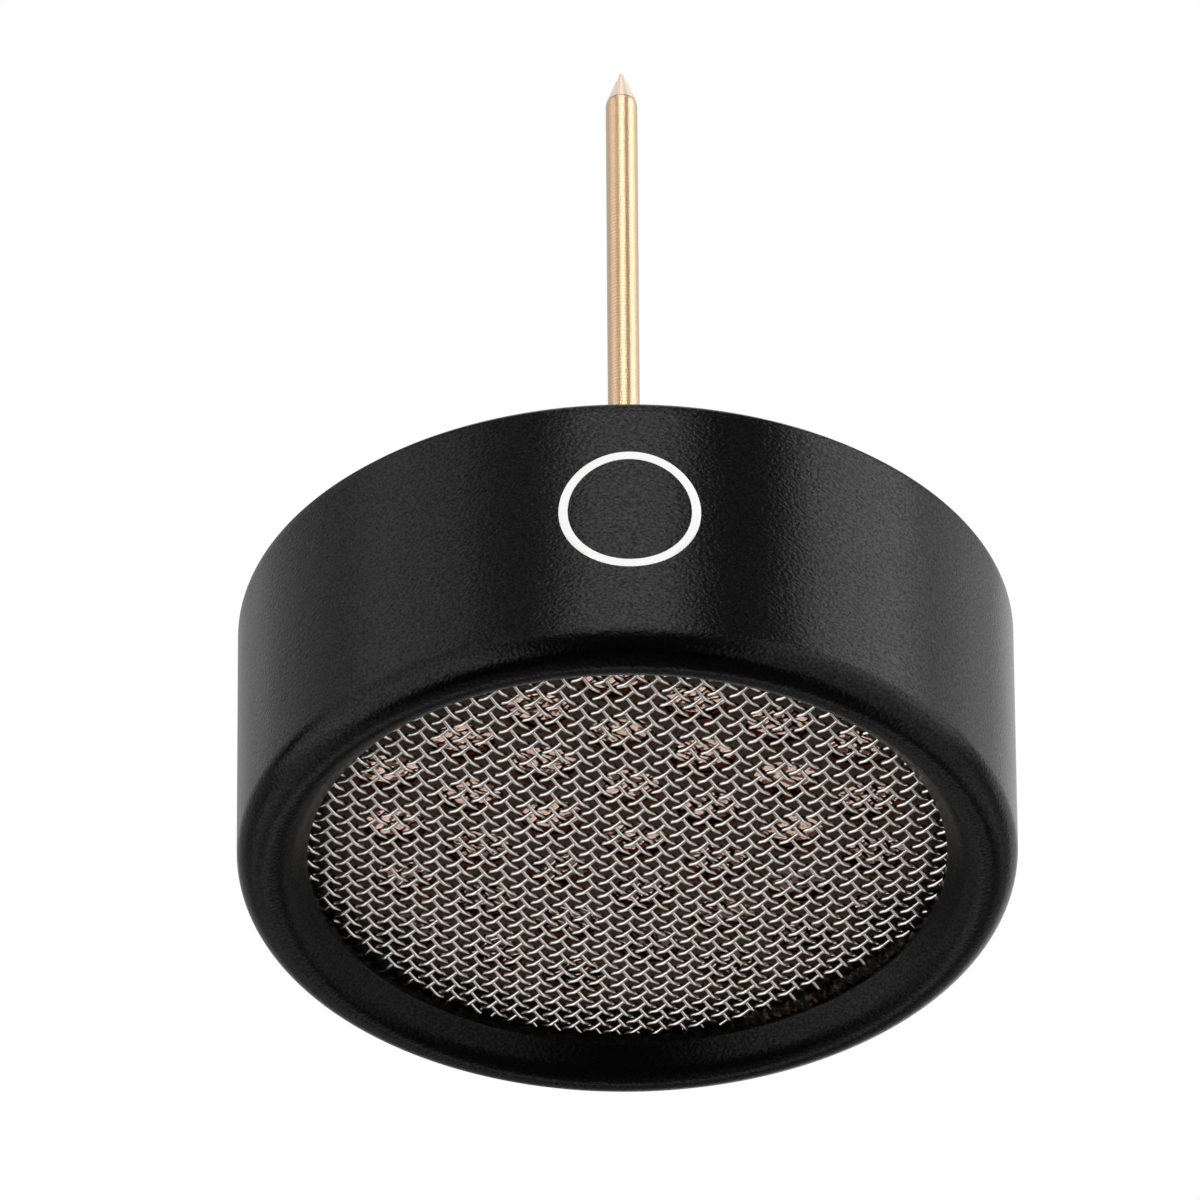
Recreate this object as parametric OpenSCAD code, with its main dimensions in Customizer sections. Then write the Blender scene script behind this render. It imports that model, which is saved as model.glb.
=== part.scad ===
// Condenser microphone capsule, the screw-on head of a small-diaphragm microphone.
// The shell's rear rim is the seat on the microphone's body and lies at z = 0.
// The grille faces +Z, the contact pin points along -Z, and the painted mark is on the -Y side.

/* [Shell] */
// Outside diameter of the shell
shell_d = 24; // [23:0.1:28]
// Height of the shell from its rear rim to the crest of its front lip
shell_h = 9.4; // [9.2:0.1:12]
// Radius of the rounded outer edge at the front
front_round_r = 1.0; // [0.5:0.05:1.2]
// Radius of the turn from the crest into the lip's cone
crest_turn_r = 1.0; // [0.2:0.05:1.1]
// Slope of the lip's cone to the front plane, in degrees
lip_slope = 46.5; // [30:0.5:50]
// Width of the lip, from the shell's outside to the edge of the opening
lip_w = 2.17; // [2.0:0.01:2.4]
// Length of the straight land behind the lip's cone
lip_land = 0.36; // [0.25:0.01:0.5]
// Chamfer on the rear rim's outer edge
rim_chamfer = 0.18; // [0.1:0.01:0.3]

/* [Rear socket] */
// Wall of the threaded socket, outside the root of its thread
socket_wall = 1.0; // [0.7:0.05:1.2]
// Step from the thread's root in to the bore that holds the cell
cell_step = 0.5; // [0.45:0.01:0.6]
// Lead-in chamfer at the socket's mouth
socket_lead = 0.35; // [0.2:0.05:0.5]

/* [Pickup mark] */
// Outside diameter of the painted ring that marks an all-round pickup
mark_d = 4.34; // [3:0.02:5]
// Width of the painted line
mark_line = 0.28; // [0.2:0.01:0.5]
// Depth of the engraved groove that the paint fills
mark_depth = 0.1; // [0.05:0.01:0.2]
// Distance from the front crest to the mark's centre
mark_from_crest = 5.28; // [4:0.02:5.6]

/* [Grille cloth] */
// Diameter of the wires in the grille cloth
wire_d = 0.11; // [0.08:0.01:0.15]
// Height of the cloth's outward bow at its middle
cloth_bow = 0.48; // [0.3:0.01:0.6]
// How far the cloth runs in under the lip
cloth_tuck = 0.4; // [0.2:0.05:0.6]
// Spacing of the ridges that stand for the weave
ridge_pitch = 1.8; // [1.7:0.05:2.4]
// Width of one ridge
ridge_w = 0.4; // [0.3:0.02:0.6]
// Turn of the weave about the capsule's axis, in degrees
weave_turn = 40; // [0:1:90]
// Width of the solid border round the ridges, inside the lip's opening
cloth_border = 0.3; // [0.2:0.02:0.5]

/* [Cloth adhesive] */
// Height of the adhesive up the lip's land
adhesive_h = 0.28; // [0.1:0.01:0.32]
// Width of the adhesive on the cloth
adhesive_w = 0.3; // [0.1:0.01:0.4]
// Angle at which the visible adhesive starts, counted from +X
adhesive_from = 115; // [90:1:130]
// Angle that the visible adhesive covers
adhesive_sweep = 34; // [10:1:60]

/* [Support ring and front plate] */
// Thickness of the ring between the cloth and the front plate
support_t = 0.5; // [0.3:0.02:0.7]
// How far the support ring stands in from the edge of the opening
support_inset = 0.33; // [0.2:0.01:0.5]
// Thickness of the perforated front plate
plate_t = 0.2; // [0.15:0.01:0.3]
// Diameter of the front plate's holes
hole_d = 2.05; // [1.6:0.05:2.2]
// Spacing of the front plate's holes, from centre to centre
hole_pitch = 2.8; // [2.5:0.05:3.5]
// Turn of the hole pattern about the capsule's axis, in degrees
hole_turn = 5; // [0:1:30]
// Shift of the hole pattern along X, because the sheet is cut without regard to it
hole_shift_x = -0.24; // [-0.4:0.01:0.4]
// Shift of the hole pattern along Y
hole_shift_y = 0.61; // [-0.8:0.01:0.8]

/* [Diaphragm] */
// Thickness of the shim that keeps the front plate off the diaphragm
shim_t = 0.05; // [0.03:0.01:0.1]
// Thickness of the diaphragm as modelled
film_t = 0.05; // [0.03:0.01:0.08]
// Width of the ring that stretches the diaphragm
tension_w = 1.25; // [0.9:0.05:1.4]
// Gap between the diaphragm and the backplate
electrode_gap = 0.06; // [0.04:0.01:0.1]

/* [Backplate and insulator] */
// Thickness of the backplate
backplate_t = 0.8; // [0.7:0.05:0.9]
// Gap round the backplate, inside the tension ring
backplate_side_gap = 0.5; // [0.3:0.05:0.7]
// Diameter of the backplate's holes
vent_hole_d = 0.8; // [0.5:0.05:1.0]
// Distance from one ring of backplate holes to the next
vent_ring_step = 2.2; // [2.0:0.05:2.4]
// Height of the insulator's platform under the backplate
platform_h = 0.14; // [0.1:0.01:0.2]
// Thickness of the insulator at its ledge
insulator_t = 0.47; // [0.4:0.01:0.55]
// Diameter of the insulator's air passages
passage_d = 2.0; // [1.4:0.1:2.2]
// Distance of the air passages from the axis
passage_at = 4.9; // [4.5:0.1:5.1]
// Diameter of the insulator's boss round the terminal
boss_d = 3.2; // [2.8:0.1:3.6]
// How far the boss stands out behind the cup
boss_proud = 0.15; // [0.1:0.01:0.25]

/* [Backplate screws] */
// Distance of the backplate screws in from the backplate's edge
screw_inset = 1.1; // [0.9:0.05:1.3]
// Diameter of the backplate screws
screw_d = 0.8; // [0.6:0.05:0.9]
// Diameter of the screws' heads
screw_head_d = 1.3; // [1.1:0.05:1.4]
// Height of the screws' heads
screw_head_h = 0.22; // [0.15:0.01:0.3]
// How far the screws reach into the backplate
screw_grip = 0.45; // [0.3:0.05:0.55]

/* [Cup and chamber] */
// Side wall of the cell's cup
cup_wall = 0.45; // [0.35:0.05:0.55]
// Floor of the cell's cup
cup_floor_t = 0.4; // [0.3:0.05:0.5]
// Height of the air chamber behind the insulator
chamber_h = 0.25; // [0.2:0.01:0.4]
// Width of the ring round the air chamber
chamber_ring_w = 1.3; // [1.0:0.05:1.5]
// Thickness of the damping cloth behind the air passages
damping_t = 0.1; // [0.05:0.01:0.15]
// Diameter of the pressure vent's plug
vent_plug_d = 1.2; // [1.0:0.1:1.6]
// Diameter of the fine bore through the plug
vent_bore_d = 0.3; // [0.2:0.05:0.5]
// Distance of the pressure vent from the axis
vent_at = 5.2; // [4.5:0.1:6]

/* [Retaining ring] */
// Thickness of the springy ground washer
ground_t = 0.1; // [0.08:0.01:0.15]
// Thickness of the threaded ring that locks the cell in the shell
retainer_t = 0.5; // [0.4:0.05:0.7]
// Width of the threaded ring
retainer_w = 2.6; // [2:0.1:3]
// Width of the ring's two spanner slots
slot_w = 1.4; // [1:0.1:2]
// Depth of the spanner slots
slot_depth = 0.3; // [0.2:0.05:0.35]

/* [Terminal and contact pin] */
// Diameter of the stud that carries the signal out of the cell
stud_d = 1.4; // [1.2:0.05:1.6]
// How far the stud reaches into the backplate
stud_grip = 0.5; // [0.3:0.05:0.55]
// Thickness of the washer under the nut
washer_t = 0.2; // [0.15:0.01:0.3]
// Diameter of the washer
washer_d = 3.0; // [2.8:0.1:3.4]
// Height of the terminal nut
nut_h = 0.6; // [0.5:0.05:0.8]
// Width of the nut across its flats
nut_flats = 2.6; // [2.4:0.05:3]
// Diameter of the contact pin's shank
pin_d = 1.0; // [0.96:0.01:1.2]
// How far the contact pin's tip stands behind the rear rim
pin_reach = 21.9; // [10:0.1:30]
// Diameter of the contact pin's foot, which screws onto the stud
foot_d = 2.4; // [2.2:0.05:2.8]
// Height of the contact pin's foot
foot_h = 1.2; // [1.1:0.05:1.6]
// Width across the two spanner flats on the foot
foot_flats = 2.0; // [1.9:0.05:2.15]
// Depth of the tapped hole in the foot
foot_tap = 0.9; // [0.6:0.05:1.0]
// Half-angle of the contact pin's point, in degrees
point_half_angle = 20; // [15:1:30]
// Diameter at the base of the point
point_d = 0.94; // [0.7:0.01:0.95]
// Diameter of the flat at the very tip
tip_flat_d = 0.1; // [0.05:0.01:0.2]
// Length of the rounded shoulder between the shank and the point
shoulder_l = 0.18; // [0.1:0.02:0.4]

/* [Clearances] */
// Clearance of the cell's round pieces in the bores that hold them
slip = 0.05; // [0.03:0.01:0.08]

/* [Hidden] */

$fn = 96;
// Facets of the large shallow spheres, which need more to hold their thickness
BOW_FN = 256;
// Overrun of a cutting shape past the face that it cuts
over = 1;

// Radii of the shell and its bores
shell_r = shell_d / 2;
socket_r = shell_r - socket_wall;
cell_r = socket_r - cell_step;
opening_r = shell_r - lip_w;

// The lip's cone runs from the turn at the crest in to the opening's edge
crest_r = shell_r - front_round_r;
crest_corner_r = crest_r - crest_turn_r * tan(lip_slope / 2);
cone_top_r = crest_r - crest_turn_r * sin(lip_slope);
cone_top_z = shell_h - crest_turn_r * (1 - cos(lip_slope));
lip_edge_z = cone_top_z - (cone_top_r - opening_r) * tan(lip_slope);

// Levels of the stack, from the lip's rear face towards the rear
seat_z = lip_edge_z - lip_land;
cloth_t = 2 * wire_d;
cloth_rear_z = seat_z - cloth_t;
support_rear_z = cloth_rear_z - support_t;
plate_rear_z = support_rear_z - plate_t;
film_front_z = plate_rear_z - shim_t;
film_rear_z = film_front_z - film_t;
backplate_front_z = film_rear_z - electrode_gap;
backplate_rear_z = backplate_front_z - backplate_t;
ledge_z = backplate_rear_z - platform_h;
insulator_rear_z = ledge_z - insulator_t;
cup_floor_z = insulator_rear_z - chamber_h;
cup_rear_z = cup_floor_z - cup_floor_t;
ground_rear_z = cup_rear_z - ground_t;
retainer_rear_z = ground_rear_z - retainer_t;
boss_rear_z = cup_rear_z - boss_proud;
washer_rear_z = boss_rear_z - washer_t;
nut_rear_z = washer_rear_z - nut_h;
foot_rear_z = nut_rear_z - foot_h;
// Solid end of the foot, under its tapped hole
foot_web = foot_h - foot_tap;

// Radii of the cell's pieces
stack_r = cell_r - slip;
cup_in_r = stack_r - cup_wall;
inner_r = cup_in_r - slip;
tension_in_r = inner_r - tension_w;
backplate_r = tension_in_r - backplate_side_gap;
platform_r = backplate_r - backplate_side_gap / 2;
screw_at = backplate_r - screw_inset;

// The cloth's bow is part of a sphere through the edge of the opening
cloth_r = opening_r + cloth_tuck;
bow_r = (opening_r * opening_r + cloth_bow * cloth_bow) / (2 * cloth_bow);
bow_centre_z = seat_z - wire_d + cloth_bow - bow_r;
function bow_front_z(r) = bow_centre_z + sqrt(pow(bow_r + wire_d, 2) - r * r);
// How far each family of ridges reaches past the middle of the cloth
ridge_lap = wire_d * 0.3;
ridge_count = ceil(opening_r / ridge_pitch);

// The diaphragm runs out to the tension ring's rim, short of the cup
film_r = inner_r - slip;

// Screws stand between the insulator's air passages
screw_count = 3;
passage_count = 6;
vent_rings = floor((backplate_r - vent_hole_d) / vent_ring_step);

// A disc or ring between two levels
module ring(outer_r, inner_r, top_z, rear_z) {
    difference() {
        translate([0, 0, rear_z]) cylinder(r = outer_r, h = top_z - rear_z);
        translate([0, 0, rear_z - over]) cylinder(r = inner_r, h = top_z - rear_z + 2 * over);
    }
}

module disc(outer_r, top_z, rear_z) {
    translate([0, 0, rear_z]) cylinder(r = outer_r, h = top_z - rear_z);
}

// Copies of a shape on a circle about the axis
module around(count, radius, from = 0) {
    for (i = [0 : count - 1])
        rotate([0, 0, from + 360 * i / count]) translate([radius, 0, 0]) children();
}

// Section of the shell with sharp edges where the two front rounds go
module shell_section_sharp() {
    polygon([
        [socket_r + socket_lead, 0],
        [shell_r - rim_chamfer, 0],
        [shell_r, rim_chamfer],
        [shell_r, shell_h],
        [crest_corner_r, shell_h],
        [opening_r, lip_edge_z],
        [opening_r, seat_z],
        [cell_r, seat_z],
        [cell_r, retainer_rear_z],
        [socket_r, retainer_rear_z],
        [socket_r, socket_lead]
    ]);
}

// What the rounded outer front edge takes off
module outer_round_cut() {
    difference() {
        translate([crest_r, shell_h - front_round_r]) square(front_round_r + over);
        translate([crest_r, shell_h - front_round_r]) circle(r = front_round_r);
    }
}

// What the turn between the crest and the cone takes off
module crest_turn_cut() {
    centre = [crest_r, shell_h - crest_turn_r];
    difference() {
        polygon([
            centre,
            [crest_r, shell_h + over],
            [cone_top_r - over * sin(lip_slope), shell_h + over],
            [cone_top_r - over * sin(lip_slope), cone_top_z + over * cos(lip_slope)]
        ]);
        translate(centre) circle(r = crest_turn_r);
    }
}

module shell_section() {
    difference() {
        shell_section_sharp();
        outer_round_cut();
        crest_turn_cut();
    }
}

// The ring of wall that holds the painted mark, cut square to the wall at its middle
module mark_ring(extra) {
    intersection() {
        ring(shell_r + extra, shell_r - mark_depth, shell_h, 0);
        translate([0, -shell_r + 2 * over, shell_h - mark_from_crest]) rotate([90, 0, 0])
            difference() {
                cylinder(d = mark_d, h = 4 * over);
                translate([0, 0, -over]) cylinder(d = mark_d - 2 * mark_line, h = 6 * over);
            }
    }
}

module shell() {
    color([0.03, 0.03, 0.03]) difference() {
        rotate_extrude() shell_section();
        mark_ring(over);
    }
}

module pickup_mark() {
    color("white") mark_ring(0);
}

// One of the spheres that bound the bowed cloth, turned so that its poles lie at the sides
module bow_sphere(offset_r) {
    translate([0, 0, bow_centre_z]) rotate([0, 90, 0]) sphere(r = bow_r + offset_r, $fn = BOW_FN);
}

module bow_layer(front, rear) {
    difference() {
        bow_sphere(front);
        bow_sphere(rear);
    }
}

// Parallel bars across the opening, one pitch apart
module ridge_bars(turn) {
    rotate([0, 0, turn])
        for (i = [-ridge_count : ridge_count - 1])
            translate([-opening_r, (i + 0.5) * ridge_pitch - ridge_w / 2, cloth_rear_z])
                cube([2 * opening_r, ridge_w, cloth_t + cloth_bow + over]);
}

// One family of wires, as ridges that follow the bow
module ridges(turn, front, rear) {
    intersection() {
        bow_layer(front, rear);
        ridge_bars(turn);
        disc(opening_r - cloth_border / 3, seat_z + cloth_bow + over, cloth_rear_z);
    }
}

module grille_cloth() {
    color("silver") union() {
        ring(cloth_r, opening_r - cloth_border, seat_z, cloth_rear_z);
        ridges(weave_turn, wire_d, -ridge_lap);
        ridges(weave_turn + 90, ridge_lap, -wire_d);
    }
}

// Bead that lies on the bowed cloth and climbs the lip's land
module cloth_adhesive() {
    inner_edge_r = opening_r - adhesive_w;
    color([0.3, 0.22, 0.15]) rotate([0, 0, adhesive_from]) rotate_extrude(angle = adhesive_sweep)
        polygon([
            [inner_edge_r, bow_front_z(inner_edge_r)],
            [opening_r, bow_front_z(opening_r)],
            [opening_r, seat_z + adhesive_h]
        ]);
}

module cloth_support_ring() {
    color([0.06, 0.06, 0.06]) ring(stack_r, opening_r - support_inset, cloth_rear_z, support_rear_z);
}

// Holes on a triangular grid, kept to those that lie whole inside the cup's rim
module plate_holes() {
    reach = ceil(stack_r / hole_pitch) + 1;
    row_step = hole_pitch * sqrt(3) / 2;
    limit_r = cup_in_r - hole_d / 2;
    for (i = [-reach : reach], j = [-2 * reach : 2 * reach]) {
        across = row_step * i;
        along = hole_pitch * (j + 0.5 * i);
        place = [
            hole_shift_x + across * cos(hole_turn) - along * sin(hole_turn),
            hole_shift_y + across * sin(hole_turn) + along * cos(hole_turn)
        ];
        if (norm(place) < limit_r)
            translate([place[0], place[1], plate_rear_z - over]) cylinder(d = hole_d, h = plate_t + 2 * over, $fn = 32);
    }
}

module front_plate() {
    color([0.2, 0.16, 0.12]) difference() {
        disc(stack_r, support_rear_z, plate_rear_z);
        plate_holes();
    }
}

module film_shim() {
    color([0.06, 0.05, 0.04]) ring(inner_r, tension_in_r, plate_rear_z, film_front_z);
}

module diaphragm() {
    color([0.85, 0.65, 0.5]) disc(film_r, film_front_z, film_rear_z);
}

module tension_ring() {
    color([0.75, 0.6, 0.3]) ring(inner_r, tension_in_r, film_rear_z, ledge_z);
}

module backplate() {
    color([0.8, 0.65, 0.35]) difference() {
        disc(backplate_r, backplate_front_z, backplate_rear_z);
        for (k = [1 : vent_rings])
            translate([0, 0, backplate_rear_z - over]) around(6 * k, k * vent_ring_step)
                cylinder(d = vent_hole_d, h = backplate_t + 2 * over, $fn = 24);
        disc(stud_d / 2, backplate_rear_z + stud_grip, backplate_rear_z - over);
        around(screw_count, screw_at, 180 / passage_count)
            disc(screw_d / 2, backplate_rear_z + screw_grip, backplate_rear_z - over);
    }
}

module insulator() {
    color("white") difference() {
        union() {
            disc(inner_r, ledge_z, insulator_rear_z);
            disc(platform_r, backplate_rear_z, insulator_rear_z);
            disc(boss_d / 2, ledge_z, boss_rear_z);
        }
        disc(stud_d / 2, backplate_rear_z + over, boss_rear_z - over);
        around(passage_count, passage_at)
            disc(passage_d / 2, backplate_rear_z + over, insulator_rear_z - over);
        around(screw_count, screw_at, 180 / passage_count) {
            disc(screw_d / 2, backplate_rear_z + over, insulator_rear_z - over);
            disc(screw_head_d / 2, insulator_rear_z + screw_head_h, insulator_rear_z - over);
        }
    }
}

module backplate_screws() {
    color([0.7, 0.7, 0.72]) around(screw_count, screw_at, 180 / passage_count) difference() {
        union() {
            disc(screw_d / 2, backplate_rear_z + screw_grip, insulator_rear_z);
            disc(screw_head_d / 2, insulator_rear_z + screw_head_h, insulator_rear_z);
        }
        translate([-screw_head_d, -screw_d / 8, insulator_rear_z - over])
            cube([2 * screw_head_d, screw_d / 4, over + screw_head_h / 2]);
    }
}

module damping_cloth() {
    color([0.85, 0.83, 0.78]) ring(passage_at + passage_d / 2 + slip, passage_at - passage_d / 2 - slip,
        insulator_rear_z, insulator_rear_z - damping_t);
}

module chamber_ring() {
    color([0.75, 0.6, 0.3]) ring(inner_r, inner_r - chamber_ring_w, insulator_rear_z, cup_floor_z);
}

module cell_cup() {
    color([0.75, 0.6, 0.3]) difference() {
        disc(stack_r, plate_rear_z, cup_rear_z);
        disc(cup_in_r, plate_rear_z + over, cup_floor_z);
        disc(boss_d / 2 + slip, cup_floor_z + over, cup_rear_z - over);
        around(1, vent_at, 45) disc(vent_plug_d / 2, cup_floor_z + over, cup_rear_z - over);
    }
}

module vent_plug() {
    color([0.7, 0.7, 0.72]) around(1, vent_at, 45)
        ring(vent_plug_d / 2, vent_bore_d / 2, cup_floor_z, cup_rear_z - ground_t);
}

module ground_washer() {
    color([0.7, 0.45, 0.25]) ring(stack_r, cell_r - retainer_w, cup_rear_z, ground_rear_z);
}

module retaining_ring() {
    color([0.75, 0.6, 0.3]) difference() {
        ring(stack_r, cell_r - retainer_w, ground_rear_z, retainer_rear_z);
        translate([-cell_r - over, -slot_w / 2, retainer_rear_z - over])
            cube([2 * (cell_r + over), slot_w, slot_depth + over]);
    }
}

module terminal_stud() {
    color([0.8, 0.65, 0.35]) disc(stud_d / 2, backplate_rear_z + stud_grip, nut_rear_z - foot_tap);
}

module terminal_washer() {
    color([0.7, 0.7, 0.72]) ring(washer_d / 2, stud_d / 2, boss_rear_z, washer_rear_z);
}

module terminal_nut() {
    color([0.8, 0.65, 0.35]) difference() {
        translate([0, 0, nut_rear_z]) cylinder(d = nut_flats / cos(30), h = nut_h, $fn = 6);
        disc(stud_d / 2, washer_rear_z + over, nut_rear_z - over);
    }
}

// Foot of the contact pin: a short cylinder with two spanner flats
module pin_foot() {
    intersection() {
        disc(foot_d / 2, nut_rear_z, foot_rear_z);
        translate([-foot_flats / 2, -foot_d, foot_rear_z - over]) cube([foot_flats, 2 * foot_d, foot_h + 2 * over]);
    }
}

// Half section of the shank, its rounded shoulder and its point
module shank_section(shank_end_z, point_base_z) {
    drop = (pin_d - point_d) / 2;
    arc_r = (shoulder_l * shoulder_l + drop * drop) / (2 * drop);
    difference() {
        polygon([
            [0, -pin_reach],
            [tip_flat_d / 2, -pin_reach],
            [point_d / 2, point_base_z],
            [pin_d / 2, point_base_z],
            [pin_d / 2, foot_rear_z + foot_web / 2],
            [0, foot_rear_z + foot_web / 2]
        ]);
        difference() {
            translate([point_d / 2, point_base_z - over]) square([drop + over, over + shoulder_l]);
            translate([pin_d / 2 - arc_r, shank_end_z]) circle(r = arc_r);
        }
    }
}

module contact_pin() {
    point_base_z = -pin_reach + (point_d - tip_flat_d) / 2 / tan(point_half_angle);
    color([0.9, 0.75, 0.45]) difference() {
        union() {
            pin_foot();
            rotate_extrude() shank_section(point_base_z + shoulder_l, point_base_z);
        }
        disc(stud_d / 2, nut_rear_z + over, nut_rear_z - foot_tap);
    }
}

shell();
pickup_mark();
grille_cloth();
cloth_adhesive();
cloth_support_ring();
front_plate();
film_shim();
diaphragm();
tension_ring();
backplate();
insulator();
backplate_screws();
damping_cloth();
chamber_ring();
cell_cup();
vent_plug();
ground_washer();
retaining_ring();
terminal_stud();
terminal_washer();
terminal_nut();
contact_pin();
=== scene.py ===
"""Looks of a condenser microphone capsule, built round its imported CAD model.

The row frame: the grille faces +Z, the contact pin points along -Z and the painted mark is on the -Y side.
The camera stands in front and above and is rolled half a turn, so that the pin points up in the picture.
"""

import math

import bmesh
import bpy
import numpy as np
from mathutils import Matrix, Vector


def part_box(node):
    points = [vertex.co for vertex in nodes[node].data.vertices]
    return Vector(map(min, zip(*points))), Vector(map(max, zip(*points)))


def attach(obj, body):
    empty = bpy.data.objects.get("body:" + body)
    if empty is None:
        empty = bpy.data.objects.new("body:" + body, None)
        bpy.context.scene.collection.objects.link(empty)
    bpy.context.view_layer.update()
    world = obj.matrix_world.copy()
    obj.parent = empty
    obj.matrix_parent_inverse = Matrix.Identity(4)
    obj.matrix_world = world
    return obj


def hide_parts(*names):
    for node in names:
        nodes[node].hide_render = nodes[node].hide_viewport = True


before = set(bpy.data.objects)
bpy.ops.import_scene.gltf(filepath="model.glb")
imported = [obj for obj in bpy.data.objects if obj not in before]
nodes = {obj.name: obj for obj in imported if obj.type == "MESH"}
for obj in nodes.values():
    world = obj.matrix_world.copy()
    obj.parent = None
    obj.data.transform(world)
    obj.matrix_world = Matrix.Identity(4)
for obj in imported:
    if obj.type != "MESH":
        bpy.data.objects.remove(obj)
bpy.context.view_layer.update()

MM = 0.001
rng = np.random.default_rng(7)


# Sizes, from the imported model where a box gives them, and otherwise in millimetres as on the part

def box_mm(node):
    """Lowest and highest corner of a CAD node, in millimetres."""
    low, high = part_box(node)
    return np.array(low) / MM, np.array(high) / MM


_, shell_high = box_mm("shell")
SHELL_R = float(shell_high[0])
CREST_Z = float(shell_high[2])
FRONT_ROUND_R = 1.0
CREST_TURN_R = 1.0
LIP_SLOPE = math.radians(46.5)
OPENING_R = SHELL_R - 2.17
RIM_CHAMFER = 0.18
SOCKET_R = SHELL_R - 1.0
SOCKET_LEAD = 0.35
CELL_R = SOCKET_R - 0.5
SEAT_Z = float(box_mm("cloth_support_ring")[1][2]) + 0.22
SOCKET_FLOOR_Z = float(box_mm("retaining_ring")[0][2])

mark_low, mark_high = box_mm("pickup_mark")
MARK_R = float(mark_high[0] - mark_low[0]) / 2
MARK_LINE = 0.28
MARK_Z = float(mark_high[2] + mark_low[2]) / 2

WIRE_D = 0.11
CLOTH_BOW = 0.48
CLOTH_R = float(box_mm("grille_cloth")[1][0])
CLOTH_MID_Z = SEAT_Z - WIRE_D

pin_low, pin_high = box_mm("contact_pin")
PIN_TIP_Z = float(pin_low[2])
PIN_FOOT_TOP_Z = float(pin_high[2])
PIN_R = 0.50
FOOT_R = 1.2
FOOT_HALF_FLATS = 1.0
FOOT_H = 1.2
POINT_R = 0.47
POINT_END_R = 0.05
POINT_SLOPE = math.radians(20)
POINT_BASE_Z = PIN_TIP_Z + (POINT_R - POINT_END_R) / math.tan(POINT_SLOPE)
POINT_END = ((0.85, 0.012), (0.5, 0.022), (0.2, 0.026))  # share of the end's radius, and fall past the tip
RING_PITCH = 0.125  # of the shank's turning lines


# Meshes

def new_piece(name, points_mm, faces, replaces=(), sharp_deg=35.0):
    """A piece of the object from points in millimetres, smooth but for edges sharper than sharp_deg."""
    mesh = bpy.data.meshes.new(name)
    mesh.from_pydata((np.asarray(points_mm) * MM).tolist(), [], faces)
    mesh.validate()
    edit = bmesh.new()
    edit.from_mesh(mesh)
    bmesh.ops.recalc_face_normals(edit, faces=edit.faces)
    edit.to_mesh(mesh)
    edit.free()
    mesh.shade_smooth()
    mesh.set_sharp_from_angle(angle=math.radians(sharp_deg))
    piece = bpy.data.objects.new(name, mesh)
    bpy.context.scene.collection.objects.link(piece)
    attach(piece, "root")
    if replaces:
        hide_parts(*replaces)
    return piece


def grid_faces(rows, columns, close_rows=False, close_columns=False):
    """Quads of a grid of points that is stored row by row."""
    faces = []
    for i in range(rows if close_rows else rows - 1):
        for j in range(columns if close_columns else columns - 1):
            a, b = i % rows, (i + 1) % rows
            c, d = j % columns, (j + 1) % columns
            faces.append((a * columns + c, b * columns + c, b * columns + d, a * columns + d))
    return faces


def lathe(profile, segments):
    """Points and quads of a closed profile of (radius, height) turned about the axis."""
    profile = np.asarray(profile, float)
    turn = np.linspace(0, 2 * math.pi, segments, endpoint=False)
    radius, height = profile[:, 0], profile[:, 1]
    points = np.stack([
        np.cos(turn)[:, None] * radius,
        np.sin(turn)[:, None] * radius,
        np.broadcast_to(height, (segments, len(profile))),
    ], axis=-1).reshape(-1, 3)
    return points, grid_faces(segments, len(profile), close_rows=True, close_columns=True)


def arc(centre, radius, start_deg, end_deg, steps):
    """Points of an arc in the section plane, angles counted from the outward radius."""
    turn = np.radians(np.linspace(start_deg, end_deg, steps + 1))
    return [(centre[0] + radius * math.cos(t), centre[1] + radius * math.sin(t)) for t in turn]


def spaced(start, end, steps):
    """Points from start up to but without end."""
    return [tuple(np.array(start) + (np.array(end) - np.array(start)) * i / steps) for i in range(steps)]


# Pieces

def make_shell():
    """The turned shell: one closed section with its rounded lip, seat, bores and socket."""
    crest_r = SHELL_R - FRONT_ROUND_R
    slope = LIP_SLOPE
    cone_top = (crest_r - CREST_TURN_R * math.sin(slope), CREST_Z - CREST_TURN_R * (1 - math.cos(slope)))
    lip_edge_z = cone_top[1] - (cone_top[0] - OPENING_R) * math.tan(slope)
    edge_r = 0.03
    profile = [
        (SOCKET_R + SOCKET_LEAD, 0.0),
        (SHELL_R - RIM_CHAMFER - edge_r, 0.0),
        (SHELL_R - RIM_CHAMFER, 0.2 * edge_r),
        (SHELL_R - 0.2 * edge_r, RIM_CHAMFER),
        (SHELL_R, RIM_CHAMFER + edge_r),
    ]
    profile += spaced((SHELL_R, 0.5), (SHELL_R, CREST_Z - FRONT_ROUND_R), 12)
    profile += arc((crest_r, CREST_Z - FRONT_ROUND_R), FRONT_ROUND_R, 0, 90, 24)
    profile += arc((crest_r, CREST_Z - CREST_TURN_R), CREST_TURN_R, 90, 90 + math.degrees(slope), 16)[1:]
    profile += spaced(cone_top, (OPENING_R, lip_edge_z), 5)[1:]
    profile += [
        (OPENING_R + edge_r * math.cos(slope), lip_edge_z + edge_r * math.sin(slope)),
        (OPENING_R + 0.2 * edge_r, lip_edge_z - 0.1 * edge_r),
        (OPENING_R, lip_edge_z - edge_r),
        (OPENING_R, SEAT_Z),
        (CELL_R, SEAT_Z),
        (CELL_R, SOCKET_FLOOR_Z),
        (SOCKET_R, SOCKET_FLOOR_Z),
        (SOCKET_R, SOCKET_LEAD),
    ]
    points, faces = lathe(profile, 360)
    return new_piece("turned_shell", points, faces, ["shell"])


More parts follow.
